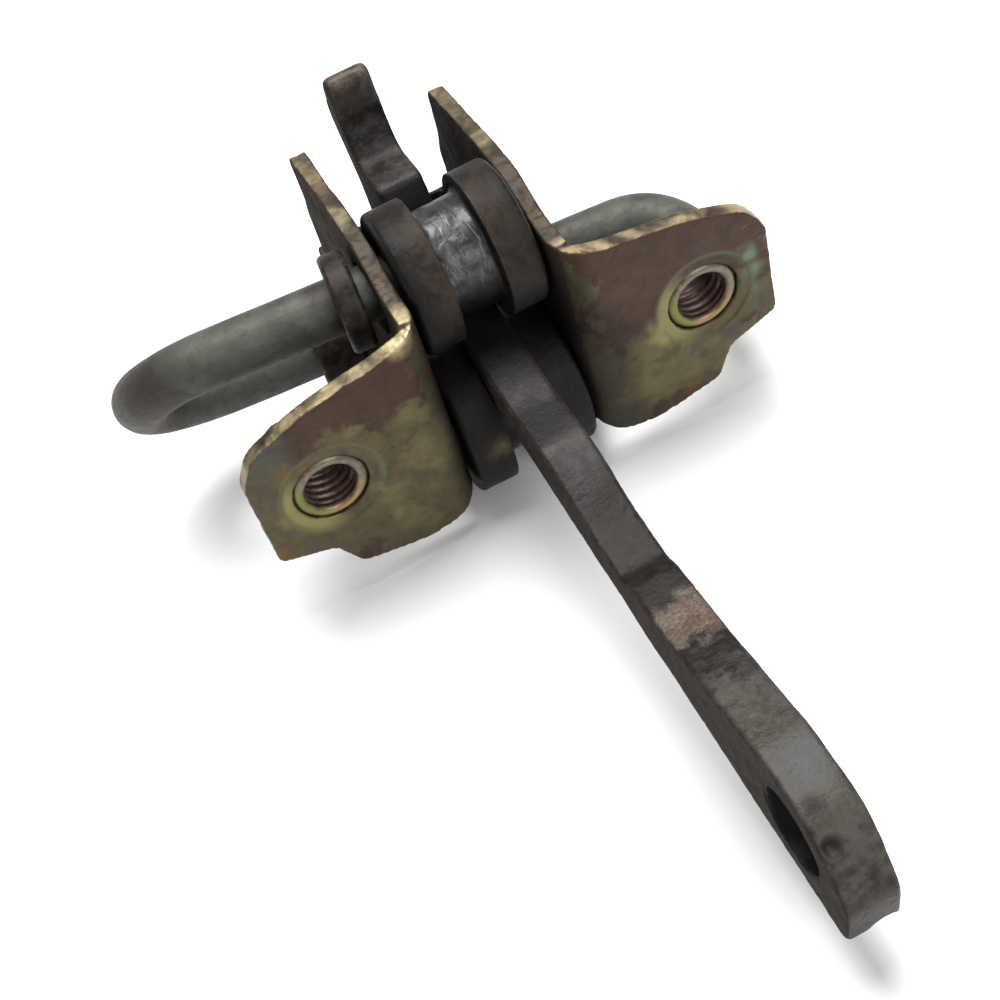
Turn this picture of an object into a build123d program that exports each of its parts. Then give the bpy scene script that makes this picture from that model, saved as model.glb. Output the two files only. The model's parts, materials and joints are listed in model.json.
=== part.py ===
"""Vehicle door check: a hooked check arm that slides between two spool rollers in a flanged
steel bracket, loaded by a hairpin spring bar.

Frame: millimetres. The origin lies midway between the two M8 mounting threads, on the bracket's
front (mounting) face. +X runs along the bolt line, +Y back into the door, +Z up.
"""

from build123d import *
import os
from math import cos, pi, radians, sin, tan

os.makedirs("parts", exist_ok=True)

# ---- Bracket ------------------------------------------------------------------------------
SHEET = 2.2                # steel sheet thickness
BOLT_X = 26.0              # mounting thread, from the middle of the bracket
CHEEK_IN = 8.9             # inner face of each cheek
CHEEK_OUT = CHEEK_IN + SHEET
BEND_OUT = 4.0             # outer radius of the bend between flange and cheek
BEND_IN = BEND_OUT - SHEET
TIP_Y = 38.4               # pointed rear tip of each cheek
REAR_Y = 48.2              # lower rear corner of each cheek, and the web between them
WEB_TOP = -3.6            # upper edge of that web
NUT_HOLE_R = 4.9
DISH_R = 6.7               # coined seat around each mounting thread
DISH_DEPTH = 0.3

# ---- Weld nuts (M8, hexagon) --------------------------------------------------------------
THREAD_R = 3.35
PILOT_R = 4.35
PILOT_TOP = 0.4            # the pilot collar stops this far behind the mounting face
THREAD_LEAD = 0.2          # chamfer at the mouth of the thread
NUT_FLATS = 13.0
NUT_HEIGHT = 6.5

# ---- Check arm ----------------------------------------------------------------------------
ARM_HALF = 3.1             # half the forged bar's thickness
ARM_TILT = 7.0             # the arm runs down towards its eye at this angle
ARM_Z = -2.75              # height of the arm's straight lower edge at the mounting face
EYE_U = -66.0              # pivot eye, along the arm
EYE_V = 7.6                # pivot eye, above the arm's lower edge
EYE_R = 5.0

# ---- Rollers ------------------------------------------------------------------------------
TRACK_R = 7.2
RIM_R = 9.5
TRACK_HALF = 3.25          # half the width of the track between the two rims
LOWER_RIM_R = 10.3
UPPER_HALF = 8.3           # half the length of each roller
LOWER_HALF = 8.5
UPPER_BORE_R = 4.7         # roomy, because the spring leg crosses it at an angle
LOWER_BORE_R = 4.25
UPPER_Y = 12.8
UPPER_Z = 13.3
ROLLER_GAP = 0.08          # lower roller's clearance under the arm
LOWER_U = 9.0              # lower roller, along the arm

# ---- Lower roller pin ---------------------------------------------------------------------
PIN_R = 4.2
PIN_NECK_R = 2.9
PIN_HEAD_R = 4.7
PIN_HEAD = 1.5

# ---- Spring bar ---------------------------------------------------------------------------
BAR_R = 3.6
BAR_YAW = 5.9              # both legs swing back towards the left by this angle
FAR_Y = 27.7               # far leg's axis at the middle of the bracket
FAR_Z = -5.5
NEAR_END_X = 10.6          # free end of the near leg, in the right cheek's slot
LOOP_X = -31.0             # where the near leg meets the U-bend
TAIL_CORNER_X = 33.0
TAIL_BEND_R = 8.2
TAIL_END = Vector(32.7, 5.6, -8.3)
SLOT_R = 3.9               # cheek slot for the near leg: end radius
SLOT_DROP = 2.6            # room for the near leg to sink into a detent
COLLAR_R = 6.3
COLLAR_BORE_R = 3.63
COLLAR_CHAMFER = 0.4
COLLAR_LENGTH = 3.2
COLLAR_X = -12.4           # inner face of the collar, just outside the left cheek
FAR_COLLAR_LENGTH = 6.4    # the far leg's collar has the same radius, bore and inner face
FAR_COLLAR_ROUND = 0.6


def side_plane(x):
    """Plane across the object at x, with its own X along +Y and its own Y along +Z."""
    return Plane(origin=(x, 0, 0), x_dir=(0, 1, 0), z_dir=(1, 0, 0))


def front_plane(y):
    """Plane facing the rear at y, with its own X along +X and its own Y along +Z."""
    return Plane(origin=(0, y, 0), x_dir=(1, 0, 0), z_dir=(0, -1, 0))


def finish(name, part):
    part.label = name
    export_step(part, f"parts/{name}.step")


# ---- Axes worked out from the driving dimensions --------------------------------------------
tilt = radians(ARM_TILT)
yaw = radians(BAR_YAW)
along_arm = Vector(0, cos(tilt), sin(tilt))
up_from_arm = Vector(0, -sin(tilt), cos(tilt))
arm_origin = Vector(0, 0, ARM_Z)
arm_plane = Plane(origin=arm_origin, x_dir=along_arm, z_dir=(1, 0, 0))

along_bar = Vector(cos(yaw), -sin(yaw), 0)
lower_axis = arm_origin + along_arm * LOWER_U - up_from_arm * (TRACK_R + ROLLER_GAP)


def on_leg(x, y, z):
    """Point at x on a spring leg that passes through (0, y, z)."""
    return Vector(x, y - x * tan(yaw), z)


# ---- Bracket: one hat-shaped stamping -------------------------------------------------------
# Front outline of the right flange, from the cheek's top corner clockwise: (x, z, corner radius)
flange_outline = [
    (0, 17.2, 0),
    (CHEEK_IN, 17.2, 0),
    (14.5, 15.4, 20),
    (25.5, 13.5, 30),
    (33.4, 10.5, 5),
    (35.6, 6.5, 3),
    (35.6, -7.6, 1.2),
    (28.6, -9.9, 2.2),
    (26.2, -14.4, 2.2),
    (16.8, -16.4, 14),
    (11.4, -15.2, 6),
    (CHEEK_IN, -13.6, 0),
    (0, -13.6, 0),
]
# Side outline of a cheek behind the bend: (y, z, corner radius)
cheek_outline = [
    (SHEET, 17.2, 0),
    (7.5, 17.2, 8),
    (14.5, 20.3, 7),
    (22.0, 20.2, 30),
    (TIP_Y - 0.4, 18.6, 0.8),
    (TIP_Y, 17.2, 1.0),
    (38.7, 12.0, 10),
    (43.8, 1.4, 20),
    (REAR_Y, -6.4, 5),
    (REAR_Y, -13.4, 3),
    (42.0, -15.2, 6),
    (6.0, -15.2, 6),
    (SHEET, -13.6, 0),
]

with BuildPart() as sheet_limits:
    with BuildSketch(front_plane(-1)):
        with BuildLine():
            FilletPolyline(
                [(x, z) for x, z, r in flange_outline],
                radius=[r for x, z, r in flange_outline],
                close=True,
            )
        make_face()
        mirror(about=Plane.YZ)
    extrude(amount=-(SHEET + 1.001))
    with BuildSketch(side_plane(-CHEEK_OUT)):
        with BuildLine():
            FilletPolyline(
                [(y, z) for y, z, r in cheek_outline],
                radius=[r for y, z, r in cheek_outline],
                close=True,
            )
        make_face()
    extrude(amount=2 * CHEEK_OUT)

with BuildPart() as bracket:
    for side in (-1, 1):
        with BuildSketch(Plane.XY.offset(-20)):
            with BuildLine():
                FilletPolyline(
                    (side * 40, 0),
                    (side * CHEEK_IN, 0),
                    (side * CHEEK_IN, REAR_Y - 7),
                    (side * CHEEK_OUT, REAR_Y - 7),
                    (side * CHEEK_OUT, SHEET),
                    (side * 40, SHEET),
                    radius=[0, BEND_OUT, 0, 0, BEND_IN, 0],
                    close=True,
                )
            make_face()
        extrude(amount=42)
    add(sheet_limits.part, mode=Mode.INTERSECT)
    # Rear web between the cheeks, under the arm
    with BuildSketch(Plane.XY.offset(-13.4)):
        with BuildLine():
            FilletPolyline(
                (-CHEEK_OUT, REAR_Y - 8),
                (-CHEEK_OUT, REAR_Y),
                (CHEEK_OUT, REAR_Y),
                (CHEEK_OUT, REAR_Y - 8),
                (CHEEK_IN, REAR_Y - 8),
                (CHEEK_IN, REAR_Y - SHEET),
                (-CHEEK_IN, REAR_Y - SHEET),
                (-CHEEK_IN, REAR_Y - 8),
                radius=[0, BEND_IN + 1, BEND_IN + 1, 0, 0, 1, 1, 0],
                close=True,
            )
        make_face()
    extrude(amount=13.4 + WEB_TOP)
    add(sheet_limits.part, mode=Mode.INTERSECT)
    # Mounting holes with their coined seats
    with BuildSketch(front_plane(0)):
        with Locations((-BOLT_X, 0), (BOLT_X, 0)):
            Circle(DISH_R)
    extrude(amount=-DISH_DEPTH, mode=Mode.SUBTRACT)
    with BuildSketch(front_plane(-1)):
        with Locations((-BOLT_X, 0), (BOLT_X, 0)):
            Circle(NUT_HOLE_R)
    extrude(amount=-(SHEET + 2), mode=Mode.SUBTRACT)
    # Cheek openings: near leg's slot, far leg's hole and the roller pin's hole
    for side in (-1, 1):
        cheek_mid = side * (CHEEK_IN + SHEET / 2)
        near = on_leg(cheek_mid, UPPER_Y, UPPER_Z)
        far = on_leg(cheek_mid, FAR_Y, FAR_Z)
        with BuildSketch(side_plane(cheek_mid - SHEET)):
            with Locations((near.Y, near.Z - SLOT_DROP / 2)):
                SlotOverall(2 * SLOT_R + SLOT_DROP, 2 * SLOT_R, rotation=90)
            with Locations((far.Y, far.Z)):
                Circle(SLOT_R)
            with Locations((lower_axis.Y, lower_axis.Z)):
                Circle(PIN_NECK_R)
        extrude(amount=2 * SHEET, mode=Mode.SUBTRACT)

finish("bracket", bracket.part)

# ---- Weld nuts ------------------------------------------------------------------------------
for side, name in ((-1, "weld_nut_left"), (1, "weld_nut_right")):
    with BuildPart() as weld_nut:
        with BuildSketch(front_plane(SHEET)):
            with Locations((side * BOLT_X, 0)):
                RegularPolygon(NUT_FLATS / 2, 6, major_radius=False, rotation=30)
        extrude(amount=-NUT_HEIGHT)
        chamfer(weld_nut.faces().sort_by(Axis.Y)[-1].edges(), 0.6)
        with BuildSketch(front_plane(SHEET)):
            with Locations((side * BOLT_X, 0)):
                Circle(PILOT_R)
        extrude(amount=SHEET - PILOT_TOP)
        with BuildSketch(front_plane(0)):
            with Locations((side * BOLT_X, 0)):
                Circle(THREAD_R)
        extrude(amount=-(SHEET + NUT_HEIGHT + 1), mode=Mode.SUBTRACT)
        chamfer(weld_nut.faces().sort_by(Axis.Y)[0].edges().sort_by(SortBy.RADIUS)[0], THREAD_LEAD)
    finish(name, weld_nut.part)

# ---- Check arm ------------------------------------------------------------------------------
# Side outline in the arm's own frame: (along the arm, above its lower edge, corner radius).
# Detent waves on the upper edge hold the door; the hook at the rear is the open stop.
arm_outline = [
    (-76.2, 0.0, 1.5),
    (39.6, 0.0, 2.5),
    (41.2, 7.0, 8),
    (46.4, 15.0, 5),
    (45.7, 21.2, 1.8),
    (43.0, 23.0, 1.2),
    (41.3, 15.4, 6),
    (39.0, 11.2, 2.6),
    (31.7, 12.8, 1.3),
    (26.7, 5.2, 4),
    (-4.0, 5.6, 8),
    (-11.0, 7.0, 6),
    (-15.0, 7.0, 12),
    (-24.0, 5.2, 14),
    (-30.4, 5.2, 2.5),
    (-33.0, 6.9, 4),
    (-40.0, 8.4, 20),
    (-60.5, 15.2, 12),
    (-70.0, 15.6, 7.5),
    (-76.2, 8.0, 6),
]
with BuildPart() as check_arm:
    with BuildSketch(arm_plane.offset(-ARM_HALF)):
        with BuildLine():
            FilletPolyline(
                [(u, v) for u, v, r in arm_outline],
                radius=[r for u, v, r in arm_outline],
                close=True,
            )
        make_face()
    extrude(amount=2 * ARM_HALF)
    chamfer(check_arm.faces().filter_by(Axis.X).edges(), 0.35)
    with BuildSketch(arm_plane.offset(-ARM_HALF - 1)):
        with Locations((EYE_U, EYE_V)):
            Circle(EYE_R)
    extrude(amount=2 * ARM_HALF + 2, mode=Mode.SUBTRACT)
finish("check_arm", check_arm.part)

# ---- Spool rollers --------------------------------------------------------------------------
for name, y, z, half, rim, bore in (
    ("upper_roller", UPPER_Y, UPPER_Z, UPPER_HALF, RIM_R, UPPER_BORE_R),
    ("lower_roller", lower_axis.Y, lower_axis.Z, LOWER_HALF, LOWER_RIM_R, LOWER_BORE_R),
):
    # Half section in the plane of the axis: (along the axis, radius)
    roller_section = [
        (-half, bore),
        (-half, rim - 0.5),
        (-half + 0.5, rim),
        (-TRACK_HALF - 0.35, rim),
        (-TRACK_HALF, TRACK_R),
        (TRACK_HALF, TRACK_R),
        (TRACK_HALF + 0.35, rim),
        (half - 0.5, rim),
        (half, rim - 0.5),
        (half, bore),
    ]
    with BuildPart() as roller:
        with BuildSketch(Plane(origin=(0, y, z), x_dir=(1, 0, 0), z_dir=(0, -1, 0))):
            with BuildLine():
                Polyline(roller_section, close=True)
            make_face()
        revolve(axis=Axis((0, y, z), (1, 0, 0)))
    finish(name, roller.part)

# ---- Lower roller pin: shouldered, with both ends headed over the cheeks ----------------------
with BuildPart() as lower_roller_pin:
    shoulder = CHEEK_IN - 0.05
    pin_section = [
        (-CHEEK_OUT - PIN_HEAD, 0),
        (-CHEEK_OUT - PIN_HEAD, PIN_HEAD_R - 1.2),
        (-CHEEK_OUT - 0.4, PIN_HEAD_R),
        (-CHEEK_OUT, PIN_HEAD_R),
        (-CHEEK_OUT, PIN_NECK_R),
        (-shoulder, PIN_NECK_R),
        (-shoulder, PIN_R),
        (shoulder, PIN_R),
        (shoulder, PIN_NECK_R),
        (CHEEK_OUT, PIN_NECK_R),
        (CHEEK_OUT, PIN_HEAD_R),
        (CHEEK_OUT + 0.4, PIN_HEAD_R),
        (CHEEK_OUT + PIN_HEAD, PIN_HEAD_R - 1.2),
        (CHEEK_OUT + PIN_HEAD, 0),
    ]
    with BuildSketch(Plane(origin=lower_axis, x_dir=(1, 0, 0), z_dir=(0, -1, 0))):
        with BuildLine():
            Polyline(pin_section, close=True)
        make_face()
    revolve(axis=Axis(lower_axis, (1, 0, 0)))
finish("lower_roller_pin", lower_roller_pin.part)

# ---- Spring bar: hairpin of round bar with a tail behind the right flange ----------------------
near_end = on_leg(NEAR_END_X, UPPER_Y, UPPER_Z)
loop_start = on_leg(LOOP_X, UPPER_Y, UPPER_Z)
across = on_leg(LOOP_X, FAR_Y, FAR_Z) - loop_start
across = across - along_bar * across.dot(along_bar)
loop_end = loop_start + across
loop_apex = loop_start + across / 2 - along_bar * (across.length / 2)
tail_corner = on_leg(TAIL_CORNER_X, FAR_Y, FAR_Z)

with BuildPart() as spring_bar:
    with BuildLine() as bar_path:
        Line(near_end, loop_start)
        ThreePointArc(loop_start, loop_apex, loop_end)
        FilletPolyline(loop_end, tail_corner, TAIL_END, radius=TAIL_BEND_R)
    with BuildSketch(Plane(origin=near_end, z_dir=-along_bar)):
        Circle(BAR_R)
    sweep(path=bar_path.line)
finish("spring_bar", spring_bar.part)
bar_length = sum(edge.length for edge in bar_path.edges())
print("spring bar: volume", spring_bar.part.volume, "section by length", pi * BAR_R**2 * bar_length)

# ---- Collar on the near leg, outside the left cheek -------------------------------------------
collar_face = on_leg(COLLAR_X, UPPER_Y, UPPER_Z)
with BuildPart() as spring_collar:
    with BuildSketch(Plane(origin=collar_face, z_dir=-along_bar)):
        Circle(COLLAR_R)
        Circle(COLLAR_BORE_R, mode=Mode.SUBTRACT)
    extrude(amount=COLLAR_LENGTH)
    chamfer(spring_collar.edges().filter_by(GeomType.CIRCLE).group_by(SortBy.RADIUS)[-1], COLLAR_CHAMFER)
finish("spring_collar", spring_collar.part)

# ---- Collar on the spring's far leg, outside the left cheek ---------------------------------
far_collar_face = on_leg(COLLAR_X, FAR_Y, FAR_Z)
with BuildPart() as far_collar:
    with BuildSketch(Plane(origin=far_collar_face, z_dir=-along_bar)):
        Circle(COLLAR_R)
        Circle(COLLAR_BORE_R, mode=Mode.SUBTRACT)
    extrude(amount=FAR_COLLAR_LENGTH)
    fillet(far_collar.edges().filter_by(GeomType.CIRCLE).group_by(SortBy.RADIUS)[-1], FAR_COLLAR_ROUND)
finish("far_collar", far_collar.part)
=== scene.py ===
"""Looks of the vehicle door check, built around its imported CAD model.

Every piece is made in the CAD model's frame: +X along the bolt line, +Y back into the door, +Z up.
Shape functions work in millimetres, and meshes are stored in metres.
"""

import json
import math

import bpy
from mathutils import Matrix, Quaternion, Vector, noise


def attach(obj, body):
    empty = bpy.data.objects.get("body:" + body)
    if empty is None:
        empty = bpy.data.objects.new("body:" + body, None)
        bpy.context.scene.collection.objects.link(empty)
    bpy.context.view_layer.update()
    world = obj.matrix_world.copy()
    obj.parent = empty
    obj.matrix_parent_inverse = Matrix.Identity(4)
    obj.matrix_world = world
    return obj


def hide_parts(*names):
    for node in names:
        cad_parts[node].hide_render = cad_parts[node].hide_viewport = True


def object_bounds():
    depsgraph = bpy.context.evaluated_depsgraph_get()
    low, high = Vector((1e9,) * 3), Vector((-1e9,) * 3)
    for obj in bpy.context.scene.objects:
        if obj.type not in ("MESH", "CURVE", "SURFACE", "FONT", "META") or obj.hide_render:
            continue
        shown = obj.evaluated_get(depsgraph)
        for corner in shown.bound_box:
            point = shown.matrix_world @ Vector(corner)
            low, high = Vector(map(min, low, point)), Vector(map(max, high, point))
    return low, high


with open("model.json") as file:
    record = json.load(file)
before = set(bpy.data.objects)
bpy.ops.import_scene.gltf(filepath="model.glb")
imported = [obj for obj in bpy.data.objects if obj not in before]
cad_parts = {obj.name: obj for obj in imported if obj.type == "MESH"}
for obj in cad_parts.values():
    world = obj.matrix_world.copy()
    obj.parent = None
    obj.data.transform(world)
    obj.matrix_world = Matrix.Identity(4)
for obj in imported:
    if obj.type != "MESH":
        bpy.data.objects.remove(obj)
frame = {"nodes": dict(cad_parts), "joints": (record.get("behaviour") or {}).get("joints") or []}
cad_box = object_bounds()

MM = 0.001

# ---- Driving dimensions, in millimetres, repeated from the CAD model ----------------------------
BOLT_X = 26.0
SHEET = 2.2
CHEEK_IN = 8.9
CHEEK_OUT = 11.1
BEND_IN = 1.8
WEB_FRONT = 46.0
DISH_R = 6.7
THREAD_R = 3.35
THREAD_PITCH = 1.25
THREAD_DEPTH = 0.42
PILOT_R = 4.35
PILOT_TOP = 0.4
NUT_FLATS = 13.0
NUT_BACK = SHEET + 6.5
ARM_TILT = math.radians(7.0)
ARM_Z = -2.75
TRACK_R = 7.2
TRACK_HALF = 3.25
UPPER_ROLLER = (8.3, 9.5, 4.7, 0.75)       # half length, rim radius, bore radius, track fillet
LOWER_ROLLER = (8.5, 10.3, 4.25, 0.22)

# ---- Places on the arm, in its own frame: along it, (along, up) or (across, along, up) ----------
EYE = (-66.0, 7.6)
EYE_BORE_R = 5.15
CREST = -12.2
RUST_BAND = -40.6
BEND_LINE = -46.0
HOOK_FOOT = 34.0
CHIP = (1.1, -76.0, 0.4)
PIT = (-1.9, -71.3, 13.8)
# Dark spot painted as the shade of a small pit, with no dent.
SHADED_PIT_SPOT = (-1.4, -67.3, 15.5)
BLUE_SPOT = (0.2, -63.1, 15.3)

# ---- Places in the CAD model's frame ------------------------------------------------------------
GLINT_SPOT = (-5.0, -0.3, -7.1)             # painted golden reflection on the lower roller's rim
JOINT_AT = {joint["child"]: Vector(joint["pos_m"]) / MM for joint in frame["joints"] if "pos_m" in joint}


# ---- Small helpers ------------------------------------------------------------------------------
def smoothstep(low, high, value):
    """0 below low, 1 above high, and a smooth rise between them."""
    t = min(max((value - low) / (high - low), 0.0), 1.0)
    return t * t * (3 - 2 * t)


def bump(distance, radius):
    """1 at no distance, falling smoothly to 0 at radius."""
    return 1 - smoothstep(0, radius, distance)


def blotch(point, size, seed=0.0):
    """Smooth noise from -1 to 1 whose features are about size millimetres across."""
    return noise.noise(point / size + Vector((seed, seed * 1.7, -seed)))


def rough(point, size, seed=0.0, octaves=4):
    return noise.fractal(point / size + Vector((seed, -seed, seed * 0.6)), 0.7, 2.1, octaves)


def in_arm(point):
    """(across, along, up) of a point in the arm's own frame."""
    y = point.y
    z = point.z - ARM_Z
    along = y * math.cos(ARM_TILT) + z * math.sin(ARM_TILT)
    up = z * math.cos(ARM_TILT) - y * math.sin(ARM_TILT)
    return point.x, along, up


def link(piece):
    bpy.context.scene.collection.objects.link(piece)
    return piece


def settle(piece):
    """Bakes a piece's modifiers into its mesh."""
    graph = bpy.context.evaluated_depsgraph_get()
    mesh = bpy.data.meshes.new_from_object(piece.evaluated_get(graph))
    piece.modifiers.clear()
    piece.data = mesh


def dense_copy(node, name, voxel, passes):
    """A fine, evenly meshed copy of a CAD node with its corners eased, to be worked on."""
    piece = link(bpy.data.objects.new(name, frame["nodes"][node].data.copy()))
    remesh = piece.modifiers.new("remesh", "REMESH")
    remesh.mode = "VOXEL"
    remesh.voxel_size = voxel * MM
    ease = piece.modifiers.new("ease", "SMOOTH")
    ease.factor = 0.5
    ease.iterations = passes
    settle(piece)
    return shade_smooth(piece)


def round_off(piece, chosen, passes):
    """Rounds the corners of the chosen part of a dense piece further."""
    group = piece.vertex_groups.new(name="rounded")
    group.add([v.index for v in piece.data.vertices if chosen(v.co / MM)], 1.0, "REPLACE")
    ease = piece.modifiers.new("round", "SMOOTH")
    ease.factor = 0.5
    ease.iterations = passes
    ease.vertex_group = "rounded"
    settle(piece)


def shade_smooth(piece):
    for face in piece.data.polygons:
        face.use_smooth = True
    return piece


def displace(piece, height):
    """Moves each vertex along its normal by height(point, normal), all in millimetres."""
    points = [vertex.co / MM for vertex in piece.data.vertices]
    normals = [vertex.normal.copy() for vertex in piece.data.vertices]
    for vertex, point, normal in zip(piece.data.vertices, points, normals):
        vertex.co = (point + normal * height(point, normal)) * MM
    piece.data.update()


def paint(piece, name, amount):
    """Stores amount(point, normal) on every vertex, for the material to read."""
    layer = piece.data.attributes.new(name, "FLOAT", "POINT")
    values = [amount(vertex.co / MM, vertex.normal) for vertex in piece.data.vertices]
    layer.data.foreach_set("value", values)


def lathe(name, rings, segments, closed):
    """A turned mesh about X: each ring is a list of (x, radius, angle) points in millimetres."""
    points = []
    for ring in rings:
        for x, radius, angle in ring:
            points.append((x * MM, radius * math.cos(angle) * MM, radius * math.sin(angle) * MM))
    faces = []
    count = len(rings)
    for i in range(count if closed else count - 1):
        for j in range(segments):
            a = i * segments + j
            b = i * segments + (j + 1) % segments
            c = (i + 1) % count * segments + (j + 1) % segments
            d = (i + 1) % count * segments + j
            faces.append((a, b, c, d))
    mesh = bpy.data.meshes.new(name)
    mesh.from_pydata(points, [], faces)
    mesh.update()
    if sum(face.center.dot(face.normal) * face.area for face in mesh.polygons) < 0:
        mesh.flip_normals()
    return shade_smooth(link(bpy.data.objects.new(name, mesh)))


def arc(x, radius, size, start, end, steps=6):
    """Points of a small round between two angles in degrees, as (x, radius)."""
    turns = [math.radians(start + (end - start) * k / steps) for k in range(steps + 1)]
    return [(x + size * math.cos(t), radius + size * math.sin(t)) for t in turns]


def bake_place(piece):
    """Moves a piece's place into its mesh."""
    bpy.context.view_layer.update()
    piece.data.transform(piece.matrix_world)
    piece.matrix_world = Matrix.Identity(4)


def finish_piece(piece, node, body, material):
    piece.data.materials.clear()
    piece.data.materials.append(material)
    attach(piece, body)
    if node:
        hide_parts(node)


# ---- Materials ----------------------------------------------------------------------------------
class Shader:
    """Builds one node material; every method returns the output socket of what it adds."""

    def __init__(self, name):
        self.material = bpy.data.materials.new(name)
        self.material.use_nodes = True
        self.tree = self.material.node_tree
        self.tree.nodes.clear()
        output = self.tree.nodes.new("ShaderNodeOutputMaterial")
        self.surface = self.tree.nodes.new("ShaderNodeBsdfPrincipled")
        self.tree.links.new(self.surface.outputs[0], output.inputs["Surface"])
        place = self.tree.nodes.new("ShaderNodeTexCoord")
        scale = self.tree.nodes.new("ShaderNodeVectorMath")
        scale.operation = "SCALE"
        scale.inputs["Scale"].default_value = 1 / MM
        self.tree.links.new(place.outputs["Object"], scale.inputs[0])
        self.point = scale.outputs[0]

    def put(self, socket, value):
        if isinstance(value, bpy.types.NodeSocket):
            self.tree.links.new(value, socket)
        else:
            socket.default_value = value

    def noise(self, size, detail=4.0, roughness=0.55, stretch=(1, 1, 1), seed=0.0, distortion=0.0):
        """Noise from 0 to 1 with features of about size millimetres, drawn out by stretch."""
        shift = self.tree.nodes.new("ShaderNodeMapping")
        shift.inputs["Location"].default_value = (seed, seed * 1.3, -seed)
        shift.inputs["Scale"].default_value = tuple(1 / (size * s) for s in stretch)
        self.put(shift.inputs["Vector"], self.point)
        node = self.tree.nodes.new("ShaderNodeTexNoise")
        node.inputs["Scale"].default_value = 1.0
        node.inputs["Detail"].default_value = detail
        node.inputs["Roughness"].default_value = roughness
        node.inputs["Distortion"].default_value = distortion
        self.put(node.inputs["Vector"], shift.outputs[0])
        return node.outputs["Fac"]

    def painted(self, name):
        node = self.tree.nodes.new("ShaderNodeAttribute")
        node.attribute_name = name
        return node.outputs["Fac"]

    def math(self, operation, a, b=0.0):
        node = self.tree.nodes.new("ShaderNodeMath")
        node.operation = operation
        self.put(node.inputs[0], a)
        self.put(node.inputs[1], b)
        return node.outputs[0]

    def span(self, value, low, high, out_low=0.0, out_high=1.0):
        """Maps low..high smoothly to out_low..out_high, and holds the ends."""
        node = self.tree.nodes.new("ShaderNodeMapRange")
        node.interpolation_type = "SMOOTHSTEP"
        self.put(node.inputs["Value"], value)
        node.inputs["From Min"].default_value = low
        node.inputs["From Max"].default_value = high
        node.inputs["To Min"].default_value = out_low
        node.inputs["To Max"].default_value = out_high
        return node.outputs["Result"]

    def blend(self, factor, a, b):
        """Colour a where factor is 0 and colour b where it is 1."""
        node = self.tree.nodes.new("ShaderNodeMix")
        node.data_type = "RGBA"
        self.put(node.inputs["Factor"], factor)
        self.put(node.inputs[6], (*a, 1.0) if isinstance(a, tuple) else a)
        self.put(node.inputs[7], (*b, 1.0) if isinstance(b, tuple) else b)
        return node.outputs[2]

    def edges(self, low, high):
        """How sharply the surface bends outwards, from 0 on flats to 1 on corners."""
        node = self.tree.nodes.new("ShaderNodeNewGeometry")
        return self.span(node.outputs["Pointiness"], low, high)

    def relief(self, height, depth):
        """Bump of the given depth in millimetres, from a height between 0 and 1."""
        node = self.tree.nodes.new("ShaderNodeBump")
        node.inputs["Strength"].default_value = 1.0
        node.inputs["Distance"].default_value = depth * MM
        self.put(node.inputs["Height"], height)
        self.put(self.surface.inputs["Normal"], node.outputs[0])

    def finish(self, colour, metallic, roughness, specular=0.2):
        self.put(self.surface.inputs["Specular IOR Level"], specular)
        self.put(self.surface.inputs["Base Color"], colour)
        self.put(self.surface.inputs["Metallic"], metallic)
        self.put(self.surface.inputs["Roughness"], roughness)
        return self.material


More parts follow.
